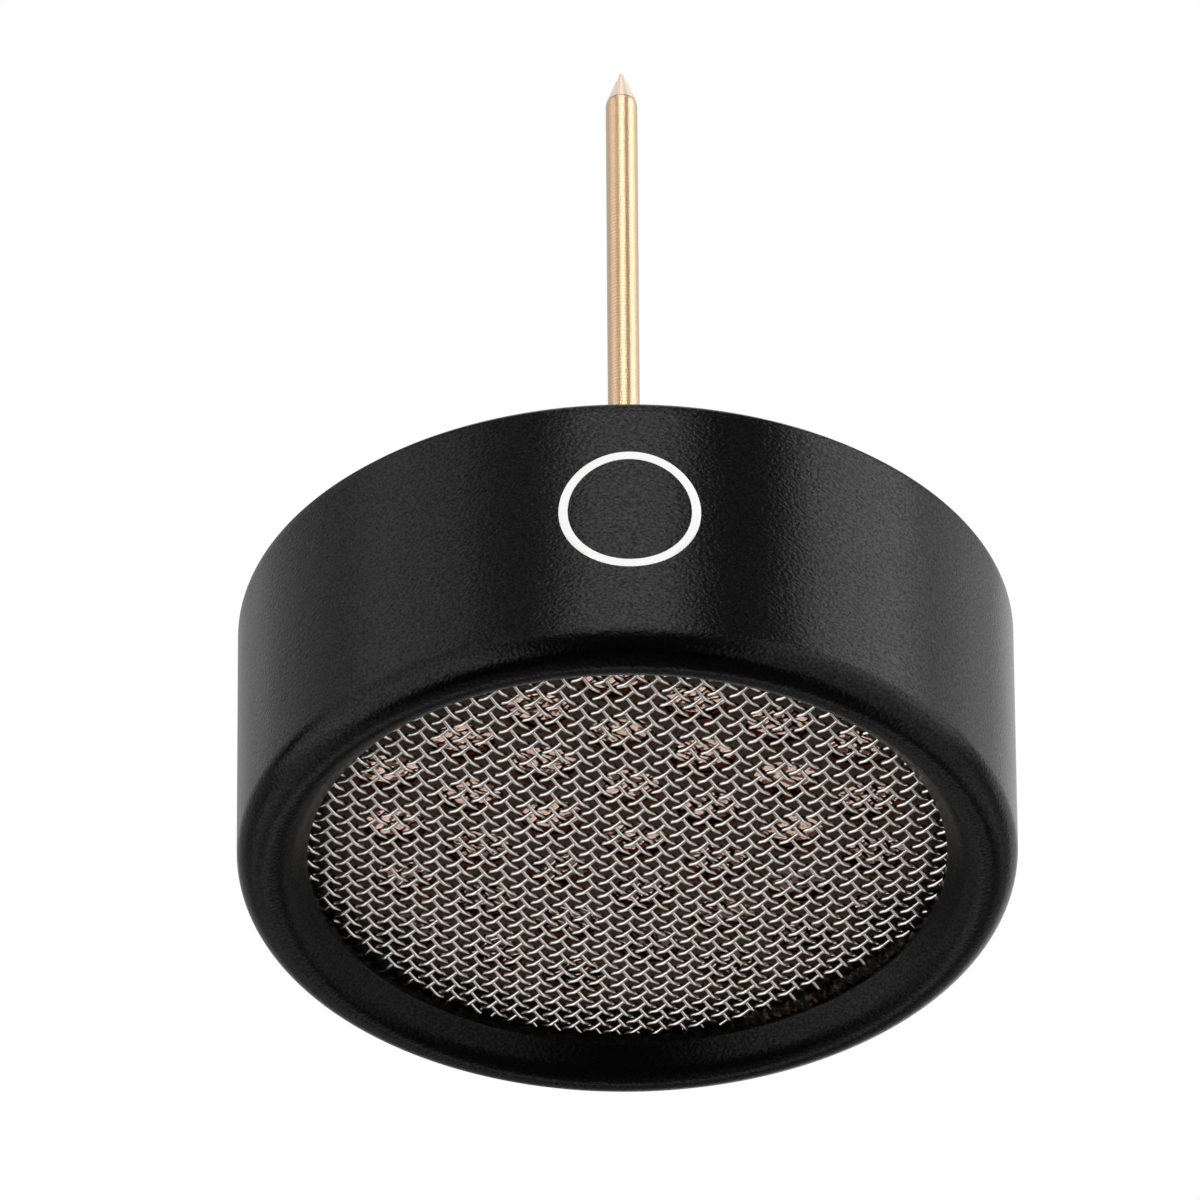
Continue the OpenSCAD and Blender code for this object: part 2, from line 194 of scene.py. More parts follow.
def make_mark():
    """The painted ring, a film of paint that follows the shell's wall."""
    paint = 0.008
    sunk = 0.03
    turn = np.linspace(0, 2 * math.pi, 192, endpoint=False)
    rings = [
        (MARK_R, SHELL_R - sunk),
        (MARK_R, SHELL_R),
        (MARK_R - 0.5 * paint, SHELL_R + paint),
        (MARK_R - 0.5 * MARK_LINE, SHELL_R + paint),
        (MARK_R - MARK_LINE + 0.5 * paint, SHELL_R + paint),
        (MARK_R - MARK_LINE, SHELL_R),
        (MARK_R - MARK_LINE, SHELL_R - sunk),
    ]
    points = []
    for t in turn:
        for ring_r, wall_r in rings:
            x = ring_r * math.cos(t)
            points.append((x, -math.sqrt(wall_r ** 2 - x ** 2), MARK_Z + ring_r * math.sin(t)))
    faces = grid_faces(len(turn), len(rings), close_rows=True, close_columns=True)
    return new_piece("painted_ring", points, faces, ["pickup_mark"], sharp_deg=60)


# The weave: turn and pitch of each family, its drift out of the even grid in pitches, as the terms of a
# cubic over the opening, the crimp of its wires, and how far and over what length a wire wanders

WARP_TURN = math.radians(40.4)
WEFT_TURN = math.radians(128.5)
WARP_PITCH = 0.5242
WEFT_PITCH = 0.4675
WARP_DRIFT = (-0.175, 0.120, -0.222, 0.055, 0.540, 0.071, 0.121, -0.238, 0.211, -0.143)
WEFT_DRIFT = (0.535, 0.185, 0.089, 0.112, 0.471, -0.047, -0.177, -0.030, 0.099, -0.035)
WARP_CRIMP = 0.046
WEFT_CRIMP = 0.062
WIRE_WANDER = ((0.010, 2.3), (0.008, 0.9))
STEPS_PER_PITCH = 6
WIRE_SIDES = 8


def dome_z(radius):
    """Height of the cloth's middle plane: a shallow sphere in the opening, and flat under the lip."""
    ball_r = (OPENING_R ** 2 + CLOTH_BOW ** 2) / (2 * CLOTH_BOW)
    rise = np.sqrt(ball_r ** 2 - np.minimum(radius, OPENING_R) ** 2) - ball_r
    return CLOTH_MID_Z + CLOTH_BOW + rise


def tube_along(path, radius, sides):
    """Points and faces of a closed round wire along a path, with flat ends."""
    ahead = np.gradient(path, axis=0)
    ahead /= np.linalg.norm(ahead, axis=1)[:, None]
    side = np.cross([0.0, 0.0, 1.0], ahead)
    side /= np.linalg.norm(side, axis=1)[:, None]
    up = np.cross(ahead, side)
    turn = np.linspace(0, 2 * math.pi, sides, endpoint=False)
    rings = (path[:, None, :] + radius * (np.cos(turn)[None, :, None] * side[:, None, :]
                                          + np.sin(turn)[None, :, None] * up[:, None, :]))
    faces = grid_faces(len(path), sides, close_columns=True)
    last = (len(path) - 1) * sides
    faces.append(tuple(reversed(range(sides))))
    faces.append(tuple(range(last, last + sides)))
    return rings.reshape(-1, 3), faces


def drift(flat, terms):
    """How far the cloth is pulled out of its even grid at points in its plane, in pitches."""
    x, y = flat[:, 0] / OPENING_R, flat[:, 1] / OPENING_R
    powers = (1, x, y, x * x, x * y, y * y, x ** 3, x * x * y, x * y * y, y ** 3)
    return sum(term * power for term, power in zip(terms, powers))


def make_wires(name, own, other, crimp, lean, taper):
    """One family of the plain weave.

    own and other are (turn, pitch, drift) of this family and of the family that it crosses. Each point
    carries a painted-light share for the wire's painted shade: most light near a crest, and least on the
    way down under the crossing wire, whose shade falls there. lean moves the middle of the lit stretch
    along the wave, and taper paints some shade on the wire's flanks and twice that on its underside.
    """
    turn, pitch, terms = own
    other_turn, other_pitch, other_terms = other
    along = np.array([math.cos(turn), math.sin(turn)])
    across = np.array([-math.sin(turn), math.cos(turn)])
    other_across = np.array([-math.sin(other_turn), math.cos(other_turn)])
    count = int(CLOTH_R / pitch) + 1
    end_gap = 0.05
    shortest_at = CLOTH_R - 0.3
    points, faces, painted_lit_share = [], [], []
    start = 0
    flanks = taper * (np.sin(np.linspace(0, 2 * math.pi, WIRE_SIDES, endpoint=False)) - 1)
    for k in range(-count, count + 1):
        offset = k * pitch
        if abs(offset) > shortest_at:
            continue
        half = math.sqrt((CLOTH_R - end_gap) ** 2 - offset ** 2)
        steps = max(int(2 * half / other_pitch * STEPS_PER_PITCH), 4)
        run = np.linspace(-half, half, steps + 1)
        line = run[:, None] * along + offset * across
        flat = line
        for _ in range(3):
            flat = line + (drift(flat, terms) * pitch)[:, None] * across
        crossing = flat @ other_across / other_pitch - drift(flat, other_terms)
        for sway, wave_length in WIRE_WANDER:
            swayed = sway * np.sin(run / wave_length + rng.uniform(0, 6.3))
            flat = flat + swayed[:, None] * across
        inside = np.linalg.norm(flat, axis=1) < CLOTH_R - WIRE_D / 2
        flat, crossing = flat[inside], crossing[inside]
        phase = math.pi * (crossing + k)
        height = dome_z(np.linalg.norm(flat, axis=1)) + crimp * np.cos(phase)
        # Painted shade: the lit share falls from a crest towards the crossing wire, and lower still on the
        # flanks and underside.
        crest = math.copysign(1, crimp) * np.cos(phase - lean)
        painted_lit_share.append((crest[:, None] + flanks).ravel())
        wire_points, wire_faces = tube_along(np.column_stack([flat, height]), WIRE_D / 2, WIRE_SIDES)
        points.append(wire_points)
        faces += [tuple(start + i for i in face) for face in wire_faces]
        start += len(wire_points)
    piece = new_piece(name, np.vstack(points), faces, ["grille_cloth"], sharp_deg=80)
    # The painted-light share goes on the mesh, for the painted shade in drawn_steel.
    attribute = piece.data.attributes.new("painted_lit_share", "FLOAT", "POINT")
    attribute.data.foreach_set("value", np.concatenate(painted_lit_share))
    return piece


def make_cloth():
    """The woven wire cloth, as two families of crimped wires."""
    warp = (WARP_TURN, WARP_PITCH, WARP_DRIFT)
    weft = (WEFT_TURN, WEFT_PITCH, WEFT_DRIFT)
    # lean and taper place the painted shade on each family.
    lean = math.radians(25)
    return [make_wires("warp_wires", warp, weft, WARP_CRIMP, lean, 0.06),
            make_wires("weft_wires", weft, warp, -WEFT_CRIMP, -lean, 0.25)]


def make_thread():
    """Ridge of the fine internal thread in the rear socket, run out at both ends."""
    pitch = 0.75
    depth = 0.405
    base_half, crest_half = 0.33, 0.1
    root_sink = 0.05
    floor_gap = 0.15
    per_turn = 144
    low, high = SOCKET_LEAD + base_half, SOCKET_FLOOR_Z - base_half - floor_gap
    steps = int((high - low) / pitch * per_turn)
    fade = per_turn / 6
    corners = 6
    points = []
    for i in range(steps + 1):
        turn = 2 * math.pi * i / per_turn
        z = low + (high - low) * i / steps
        rise = max(0.02, min(1.0, i / fade, (steps - i) / fade))
        ring = [
            (SOCKET_R + root_sink, -base_half),
            (SOCKET_R, -base_half),
            (SOCKET_R - depth * rise, -crest_half),
            (SOCKET_R - depth * rise, crest_half),
            (SOCKET_R, base_half),
            (SOCKET_R + root_sink, base_half),
        ]
        for radius, lift in ring:
            points.append((radius * math.cos(turn), -radius * math.sin(turn), z + lift))
    faces = grid_faces(steps + 1, corners, close_columns=True)
    last = steps * corners
    faces.append(tuple(range(corners)))
    faces.append(tuple(reversed(range(last, last + corners))))
    return new_piece("socket_thread", points, faces, sharp_deg=25)


def make_pin():
    """The contact pin: foot with two flats, turned shank, rounded shoulder and point."""
    shoulder = 0.18
    foot_edge = 0.06
    foot_step = 0.08
    foot_z = PIN_FOOT_TOP_Z - FOOT_H
    drop = PIN_R - POINT_R
    bulge_r = (shoulder ** 2 + drop ** 2) / (2 * drop)
    rings = [
        (0.02, PIN_FOOT_TOP_Z),
        (FOOT_R - foot_edge, PIN_FOOT_TOP_Z),
        (FOOT_R, PIN_FOOT_TOP_Z - foot_edge),
        (FOOT_R, foot_z + foot_step),
        (FOOT_R - foot_step, foot_z),
        (PIN_R + foot_edge, foot_z),
        (PIN_R, foot_z - foot_edge),
    ]
    shank = np.linspace(foot_z - 2 * foot_edge, POINT_BASE_Z + shoulder + 0.02, 160)
    rings += [(PIN_R, z) for z in shank]
    for share in np.linspace(0, 1, 10):
        fall = shoulder * share
        rings.append((PIN_R - bulge_r + math.sqrt(bulge_r ** 2 - fall ** 2), POINT_BASE_Z + shoulder - fall))
    rings += [(POINT_R, POINT_BASE_Z), (POINT_R - 0.006, POINT_BASE_Z - 0.008)]
    for radius in np.linspace(POINT_R - 0.02, POINT_END_R, 14):
        rings.append((radius, PIN_TIP_Z + (radius - POINT_END_R) / math.tan(POINT_SLOPE)))
    for share, fall in POINT_END:
        rings.append((share * POINT_END_R, PIN_TIP_Z - fall))
    sides = 64
    turn = np.linspace(0, 2 * math.pi, sides, endpoint=False)
    points = []
    for radius, z in rings:
        reach = np.full(sides, radius)
        if radius > FOOT_HALF_FLATS:
            reach = np.minimum(radius, FOOT_HALF_FLATS / np.maximum(np.abs(np.cos(turn)), 1e-6))
        points += [(r * math.cos(t), r * math.sin(t), z) for r, t in zip(reach, turn)]
    faces = grid_faces(len(rings), sides, close_columns=True)
    last = (len(rings) - 1) * sides
    faces.append(tuple(range(sides)))
    faces.append(tuple(reversed(range(last, last + sides))))
    return new_piece("gold_contact_pin", points, faces, ["contact_pin"], sharp_deg=28)


def make_adhesive():
    """The lumpy bead of glue between the cloth's edge and the lip."""
    start, sweep = math.radians(112), math.radians(40)
    along_steps, round_steps = 420, 14
    taper_share = 0.06
    thinnest = 0.01
    sink = 0.05
    floor_z = SEAT_Z - 0.12
    along = np.linspace(0, 1, along_steps + 1)
    waves = [(rng.uniform(50, 330), rng.uniform(0, 6.3), rng.uniform(0.3, 1)) for _ in range(14)]

    def lumps(shift):
        """A bumpy line along the bead, between -1 and 1."""
        total = sum(a * np.sin(f * along * sweep + p + shift * i) for i, (f, p, a) in enumerate(waves))
        return total / sum(a for _, _, a in waves)

    ends = np.clip(np.minimum(along, 1 - along) / taper_share, 0, 1) ** 0.5
    height = (0.19 + 0.16 * lumps(0.4)) * ends + thinnest
    width = (0.26 + 0.2 * lumps(1.3)) * ends + thinnest
    points = []
    for s, h, w in zip(along, height, width):
        turn = start + s * sweep
        for j in range(round_steps):
            if j < round_steps - 2:
                share = j / (round_steps - 3)
                quarter = share * math.pi / 2
                swell = 1 + 0.15 * math.sin(5 * share + 40 * s * sweep)
                swell += 0.1 * math.sin(11 * share + 90 * s * sweep)
                radius = OPENING_R + 0.02 - w * math.sin(quarter) * swell
                z = SEAT_Z - sink + (h + sink) * math.cos(quarter) * swell
            elif j == round_steps - 2:
                radius, z = OPENING_R - 0.5 * w, floor_z
            else:
                radius, z = OPENING_R + 0.03, floor_z
            points.append((radius * math.cos(turn), radius * math.sin(turn), z))
    faces = grid_faces(along_steps + 1, round_steps, close_columns=True)
    last = along_steps * round_steps
    faces.append(tuple(range(round_steps)))
    faces.append(tuple(reversed(range(last, last + round_steps))))
    return new_piece("glue_bead", points, faces, ["cloth_adhesive"], sharp_deg=60)


# Materials

class Nodes:
    """A material's node tree, with short calls for the nodes that the materials here use."""

    def __init__(self, name):
        self.material = bpy.data.materials.new(name)
        self.material.use_nodes = True
        self.tree = self.material.node_tree
        self.shader = self.tree.nodes["Principled BSDF"]
        self.coords = self.tree.nodes.new("ShaderNodeTexCoord").outputs["Object"]

    def set(self, **values):
        """Fixed values of the shader's own sockets, with underscores for the spaces in their names."""
        for key, value in values.items():
            self.shader.inputs[key.replace("_", " ")].default_value = value

    def link(self, output, node_input):
        """Join an output to an input."""
        self.tree.links.new(output, node_input)

    def node(self, kind, inputs=None, **settings):
        """A new node, with its inputs linked or set and its own settings."""
        made = self.tree.nodes.new("ShaderNode" + kind)
        for key, value in settings.items():
            setattr(made, key, value)
        for key, value in (inputs or {}).items():
            if isinstance(value, bpy.types.NodeSocket):
                self.link(value, made.inputs[key])
            else:
                made.inputs[key].default_value = value
        return made

    def noise(self, scale, detail=2.0, roughness=0.5, distortion=0.0, coords=None):
        """A noise texture, on the piece's own coordinates in metres unless others are given."""
        made = self.node("TexNoise", {"Vector": coords or self.coords, "Scale": scale, "Detail": detail,
                                      "Roughness": roughness, "Distortion": distortion})
        return made.outputs["Fac"]

    def stretched(self, size_mm, turn_deg=(0, 0, 0)):
        """Coordinates for a texture with cells of the given size, turned about the axes."""
        made = self.node("Mapping", {"Vector": self.coords, "Scale": [MM * d for d in size_mm],
                                     "Rotation": [math.radians(t) for t in turn_deg]}, vector_type="TEXTURE")
        return made.outputs["Vector"]

    def math(self, operation, a, b=0.0):
        """The result of a sum on sockets or numbers."""
        made = self.node("Math", operation=operation)
        for place, value in enumerate((a, b)):
            if isinstance(value, bpy.types.NodeSocket):
                self.link(value, made.inputs[place])
            else:
                made.inputs[place].default_value = value
        return made.outputs[0]

    def spread(self, value, low, high, to_low, to_high):
        """A value from one range laid out over another, and clamped to it."""
        made = self.node("MapRange", {"Value": value, "From Min": low, "From Max": high,
                                      "To Min": to_low, "To Max": to_high})
        return made.outputs["Result"]

    def blend(self, share, first, second):
        """A mix of two colours: the first at a share of 0, the second at 1."""
        made = self.node("Mix", data_type="RGBA")
        for key, value in (("Factor", share), ("A", first), ("B", second)):
            sockets = [s for s in made.inputs if s.name == key and s.type in ("RGBA", "VALUE")]
            socket = sockets[-1] if key != "Factor" else sockets[0]
            if isinstance(value, bpy.types.NodeSocket):
                self.link(value, socket)
            else:
                socket.default_value = value
        return [s for s in made.outputs if s.type == "RGBA"][0]

    def axis_distance(self, apart):
        """Distance from the capsule's axis, from coordinates that are taken apart."""
        flat = self.node("CombineXYZ", {"X": apart.outputs["X"], "Y": apart.outputs["Y"]}).outputs["Vector"]
        return self.node("VectorMath", {0: flat}, operation="LENGTH").outputs["Value"]

    def bump(self, height, distance_mm):
        """A normal from a texture that stands for a relief of the given depth."""
        made = self.node("Bump", {"Height": height, "Distance": distance_mm * MM})
        return made.outputs["Normal"]

    def finish(self, colour=None, roughness=None, normal=None):
        """Link what varies over the surface, and give the material back."""
        for output, key in ((colour, "Base Color"), (roughness, "Roughness"), (normal, "Normal")):
            if output is not None:
                self.link(output, self.shader.inputs[key])
        return self.material


def rgba(r, g, b):
    """An opaque colour, in linear values."""
    return (r, g, b, 1.0)


def black_paint():
    """Satin black paint with a fine, leathery wrinkle that runs mostly round the shell.

    The lip's inside is duller, and so is the edge of the rear rim.
    """
    n = Nodes("satin_black_paint")
    n.set(IOR=1.27)
    wrinkle_mm = (0.135, 0.135, 0.085)
    leaning = n.noise(1.0, 1.0, 0.4, coords=n.stretched(wrinkle_mm, (0, 24, 0)))
    falling = n.noise(1.0, 1.0, 0.4, coords=n.stretched(wrinkle_mm, (0, -30, 0)))
    share = n.spread(n.noise(1300, 1.0), 0.42, 0.58, 0.0, 1.0)
    wrinkle = n.math("ADD", n.math("MULTIPLY", leaning, share),
                     n.math("MULTIPLY", falling, n.math("SUBTRACT", 1.0, share)))
    cloudy = n.noise(260, 3.0, 0.6)
    normal = n.bump(wrinkle, 0.013)
    colour = n.blend(cloudy, rgba(0.0005, 0.0005, 0.0005), rgba(0.0011, 0.0011, 0.0011))
    apart = n.node("SeparateXYZ", {"Vector": n.coords})
    radius = n.axis_distance(apart)
    in_lip = n.spread(radius, (SHELL_R - 1.5) * MM, (SHELL_R - 1.1) * MM, 1.0, 0.0)
    specks = n.noise(1.0, 1.0, 0.5, coords=n.stretched((0.09, 0.09, 0.07)))
    grain = n.spread(specks, 0.3, 0.7, 0.27, 0.73)
    by_rim = n.spread(apart.outputs["Z"], 0.10 * MM, 0.20 * MM, 0.45, 1.0)
    gloss = n.math("MULTIPLY", grain, n.math("MULTIPLY", n.spread(in_lip, 0.0, 1.0, 1.0, 0.7), by_rim))
    n.link(gloss, n.shader.inputs["Specular IOR Level"])
    roughness = n.math("MAXIMUM", n.spread(cloudy, 0.3, 0.7, 0.18, 0.22), n.math("MULTIPLY", in_lip, 0.3))
    return n.finish(colour, roughness, normal)


def white_paint():
    """Matte white marking paint."""
    n = Nodes("white_mark_paint")
    n.set(IOR=1.5)
    grain = n.noise(3000, 2.0)
    colour = n.blend(grain, rgba(0.96, 0.96, 0.955), rgba(0.98, 0.98, 0.975))
    return n.finish(colour, n.spread(grain, 0.3, 0.7, 0.5, 0.6), n.bump(grain, 0.001))


def drawn_steel(name, turn, closed, opened):
    """Bright drawn wire with a slight warmth and lines along it, and painted shade under the next wire.

    closed and opened are the painted-light share at which the wire is painted fully dark and fully bright.
    """
    n = Nodes(name)
    n.set(Metallic=1.0, Anisotropic=0.7, Anisotropic_Rotation=0.25)
    n.link(n.node("CombineXYZ", {"X": math.cos(turn), "Y": math.sin(turn)}).outputs["Vector"],
           n.shader.inputs["Tangent"])
    tone = n.noise(1400, 3.0)
    bright = n.blend(tone, rgba(0.97, 0.92, 0.86), rgba(1.0, 0.96, 0.905))
    wire_lit_share = n.node("Attribute", attribute_name="painted_lit_share").outputs["Fac"]
    # The dark colour is painted shade, where the crossing wire shades this one.
    colour = n.blend(n.spread(wire_lit_share, closed, opened, 0.0, 1.0), rgba(0.05, 0.04, 0.032), bright)
    lines = n.noise(1.0, 2.0, coords=n.stretched((1.2, 0.022, 0.022), (0, 0, math.degrees(turn))))
    roughness = n.spread(lines, 0.3, 0.7, 0.2, 0.32)
    return n.finish(colour, roughness, n.bump(lines, 0.002))


def patinated_plate():
    """Dark bronze sheet, browner and brighter where the holes were cut."""
    n = Nodes("patinated_bronze")
    n.set(Specular_IOR_Level=0.06)
    up = n.node("SeparateXYZ", {"Vector": n.node("NewGeometry").outputs["Normal"]}).outputs["Z"]
    face = n.spread(n.math("ABSOLUTE", up), 0.5, 0.9, 0.0, 1.0)
    fine = n.noise(12000, 3.0, 0.65)
    broad = n.noise(700, 3.0, 0.6)
    dark = n.blend(n.spread(fine, 0.35, 0.65, 0.0, 1.0), rgba(0.058, 0.040, 0.028), rgba(0.165, 0.113, 0.077))
    brown = n.blend(broad, rgba(0.10, 0.042, 0.020), rgba(0.26, 0.115, 0.055))
    colour = n.blend(face, brown, dark)
    roughness = n.spread(fine, 0.3, 0.7, 0.5, 0.75)
    return n.finish(colour, roughness, n.bump(fine, 0.006))


def gold_film():
    """Stretched film with a pinkish gold coat that has dulled in patches."""
    n = Nodes("gold_coated_film")
    n.set(Metallic=1.0)
    tone = n.noise(900, 3.0)
    coat = n.blend(tone, rgba(0.88, 0.60, 0.49), rgba(0.95, 0.67, 0.56))
    worn = n.spread(n.noise(3000, 2.0, 0.55), 0.49, 0.54, 0.0, 1.0)
    colour = n.blend(worn, coat, rgba(0.12, 0.06, 0.042))
    return n.finish(colour, n.spread(tone, 0.3, 0.7, 0.015, 0.03), n.bump(n.noise(2600, 2.0), 0.0006))


def gold_plate():
    """Gold plate over turning rings, which fade into a fine grain towards the point; the point is matte."""
    n = Nodes("gold_plated_pin")
    n.set(Metallic=1.0, Anisotropic=0.7, Anisotropic_Rotation=0.25, Coat_Weight=1.0, Coat_Roughness=0.3)
    around = n.node("Tangent", direction_type="RADIAL", axis="Z").outputs["Tangent"]
    n.link(around, n.shader.inputs["Tangent"])
    soft = n.noise(1.0, 2.0, coords=n.stretched((2.0, 2.0, 0.4)))
    grain = n.noise(16000, 2.0)
    height = n.node("SeparateXYZ", {"Vector": n.coords}).outputs["Z"]
    on_point = n.spread(height, (POINT_BASE_Z - 0.01) * MM, (POINT_BASE_Z + 0.01) * MM, 1.0, 0.0)
    # Painted shade: a dark band in the thin groove at the foot of the point.
    from_base = n.math("ABSOLUTE", n.math("SUBTRACT", height, POINT_BASE_Z * MM))
    groove_shade = n.spread(from_base, 0.012 * MM, 0.03 * MM, 1.0, 0.0)
    turns = n.math("MULTIPLY", height, 2 * math.pi / (RING_PITCH * MM))
    wave = n.math("ADD", turns, n.math("MULTIPLY", soft, 5.0))
    rings = n.spread(n.math("SINE", wave), -1.0, 1.0, 0.0, 1.0)
    ringed = n.spread(height, -19.0 * MM, -16.0 * MM, 0.08, 0.30)
    speckled = n.spread(grain, 0.38, 0.62, 0.0, 0.22)
    plated = n.blend(soft, rgba(0.77, 0.52, 0.31), rgba(0.81, 0.56, 0.34))
    shade = n.math("ADD", n.math("MULTIPLY", rings, ringed), speckled)
    shaded = n.blend(shade, plated, rgba(0.42, 0.26, 0.11))
    pale = n.blend(on_point, shaded, rgba(0.86, 0.73, 0.58))
    # The groove's dark band is painted shade.
    colour = n.blend(groove_shade, pale, rgba(0.30, 0.18, 0.09))
    shank = n.spread(rings, 0.0, 1.0, 0.28, 0.36)
    roughness = n.math("MAXIMUM", shank, n.math("MULTIPLY", on_point, 0.65))
    return n.finish(colour, roughness, n.bump(grain, 0.010))


def glue():
    """Aged glue, mostly dark, with a few brown lumps."""
    n = Nodes("brown_glue")
    lumps = n.noise(5200, 3.0, 0.65)
    tint = n.spread(n.noise(3600, 3.0, 0.6), 0.52, 0.66, 0.0, 1.0)
    n.set(Specular_IOR_Level=0.12)
    colour = n.blend(tint, rgba(0.004, 0.003, 0.002), rgba(0.10, 0.052, 0.026))
    return n.finish(colour, n.spread(lumps, 0.3, 0.7, 0.55, 0.8), n.bump(lumps, 0.07))


def matte_black():
    """Dull black of the ring behind the cloth."""
    n = Nodes("black_spacer")
    grain = n.noise(3500, 2.0)
    colour = n.blend(grain, rgba(0.006, 0.006, 0.006), rgba(0.014, 0.014, 0.013))
    return n.finish(colour, n.spread(grain, 0.3, 0.7, 0.5, 0.65), n.bump(grain, 0.004))


def turned_metal(name, first, second, low=0.2, high=0.34):
    """Turned metal, with circular tool marks about the capsule's axis."""
    n = Nodes(name)
    n.set(Metallic=1.0)
    lines_per_m = 16000.0
    apart = n.node("SeparateXYZ", {"Vector": n.coords})
    across = n.math("MULTIPLY", n.axis_distance(apart), lines_per_m)
    height = n.math("MULTIPLY", apart.outputs["Z"], lines_per_m)
    lines = n.node("TexNoise", {"W": n.math("ADD", across, height), "Scale": 1.0, "Detail": 2.0},
                   noise_dimensions="1D").outputs["Fac"]
    tone = n.noise(500, 3.0)
    colour = n.blend(tone, first, second)
    return n.finish(colour, n.spread(lines, 0.3, 0.7, low, high), n.bump(lines, 0.003))


def moulded(name, first, second, low, high):
    """Smooth plastic between two colours, with a roughness from low to high."""
    n = Nodes(name)
    tone = n.noise(1300, 3.0)
    return n.finish(n.blend(tone, first, second), n.spread(tone, 0.3, 0.7, low, high), n.bump(tone, 0.002))


def felt():
    """Thin pale felt."""
    n = Nodes("damping_felt")
    fibres = n.noise(1.0, 4.0, 0.7, 1.5, coords=n.stretched((0.11, 0.33, 0.11)))
    n.set(Sheen_Weight=0.4)
    colour = n.blend(fibres, rgba(0.42, 0.40, 0.35), rgba(0.78, 0.75, 0.68))
    return n.finish(colour, n.spread(fibres, 0.3, 0.7, 0.85, 1.0), n.bump(fibres, 0.02))


def dress(piece, material):
    """Give a piece one material."""
    piece.data.materials.clear()
    piece.data.materials.append(material)


paint = black_paint()
brass = turned_metal("turned_brass", rgba(0.51, 0.355, 0.165), rgba(0.60, 0.445, 0.225))
steel = turned_metal("turned_steel", rgba(0.50, 0.50, 0.50), rgba(0.62, 0.61, 0.60))
bronze = turned_metal("rolled_bronze", rgba(0.52, 0.29, 0.15), rgba(0.64, 0.38, 0.20), 0.25, 0.4)

dress(make_shell(), paint)
dress(make_thread(), paint)
dress(make_mark(), white_paint())
warp_wires, weft_wires = make_cloth()
dress(warp_wires, drawn_steel("drawn_steel_warp", WARP_TURN, -0.98, -0.78))
dress(weft_wires, drawn_steel("drawn_steel_weft", WEFT_TURN, -1.10, -0.66))
dress(make_pin(), gold_plate())
dress(make_adhesive(), glue())

CAD_MATERIALS = {
    "cloth_support_ring": matte_black(),
    "front_plate": patinated_plate(),
    "film_shim": moulded("dark_shim", rgba(0.012, 0.009, 0.007), rgba(0.03, 0.022, 0.016), 0.3, 0.45),
    "diaphragm": gold_film(),
    "tension_ring": brass,
    "backplate": brass,
    "insulator": moulded("white_insulator", rgba(0.74, 0.73, 0.69), rgba(0.84, 0.83, 0.80), 0.35, 0.5),
    "backplate_screws": steel,
    "damping_cloth": felt(),
    "chamber_ring": brass,
    "cell_cup": brass,
    "vent_plug": steel,
    "ground_washer": bronze,
    "retaining_ring": brass,
    "terminal_stud": brass,
    "terminal_washer": steel,
    "terminal_nut": brass,
}
for node, material in CAD_MATERIALS.items():
    dress(nodes[node], material)


# Stage: a pale floor far below, because the capsule is held by its thread, a tent of light and a card

FLOOR_Z = -0.25
FLOOR_FRONT_Y = -0.03
FLOOR_REACH = 0.28
FLOOR_GLOW = 0.3


def make_floor():
    """A pale floor that starts under the capsule and runs back."""
    mesh = bpy.data.meshes.new("floor")
    corners = [(-FLOOR_REACH, FLOOR_FRONT_Y), (FLOOR_REACH, FLOOR_FRONT_Y),
               (FLOOR_REACH, FLOOR_REACH), (-FLOOR_REACH, FLOOR_REACH)]
    mesh.from_pydata([(x, y, FLOOR_Z) for x, y in corners], [], [(0, 1, 2, 3)])
    floor = bpy.data.objects.new("floor", mesh)
    bpy.context.scene.collection.objects.link(floor)
    material = bpy.data.materials.new("pale_floor")
    material.use_nodes = True
    tree = material.node_tree
    shader = tree.nodes["Principled BSDF"]
    shader.inputs["Base Color"].default_value = rgba(0.8, 0.8, 0.8)
    shader.inputs["Roughness"].default_value = 0.9
    shader.inputs["Emission Color"].default_value = rgba(1, 1, 1)
    path = tree.nodes.new("ShaderNodeLightPath")
    glow = tree.nodes.new("ShaderNodeMath")
    glow.operation = "MULTIPLY_ADD"
    tree.links.new(path.outputs["Is Glossy Ray"], glow.inputs[0])
    glow.inputs[1].default_value = FLOOR_GLOW
    tree.links.new(path.outputs["Is Camera Ray"], glow.inputs[2])
    tree.links.new(glow.outputs[0], shader.inputs["Emission Strength"])
    floor.data.materials.append(material)


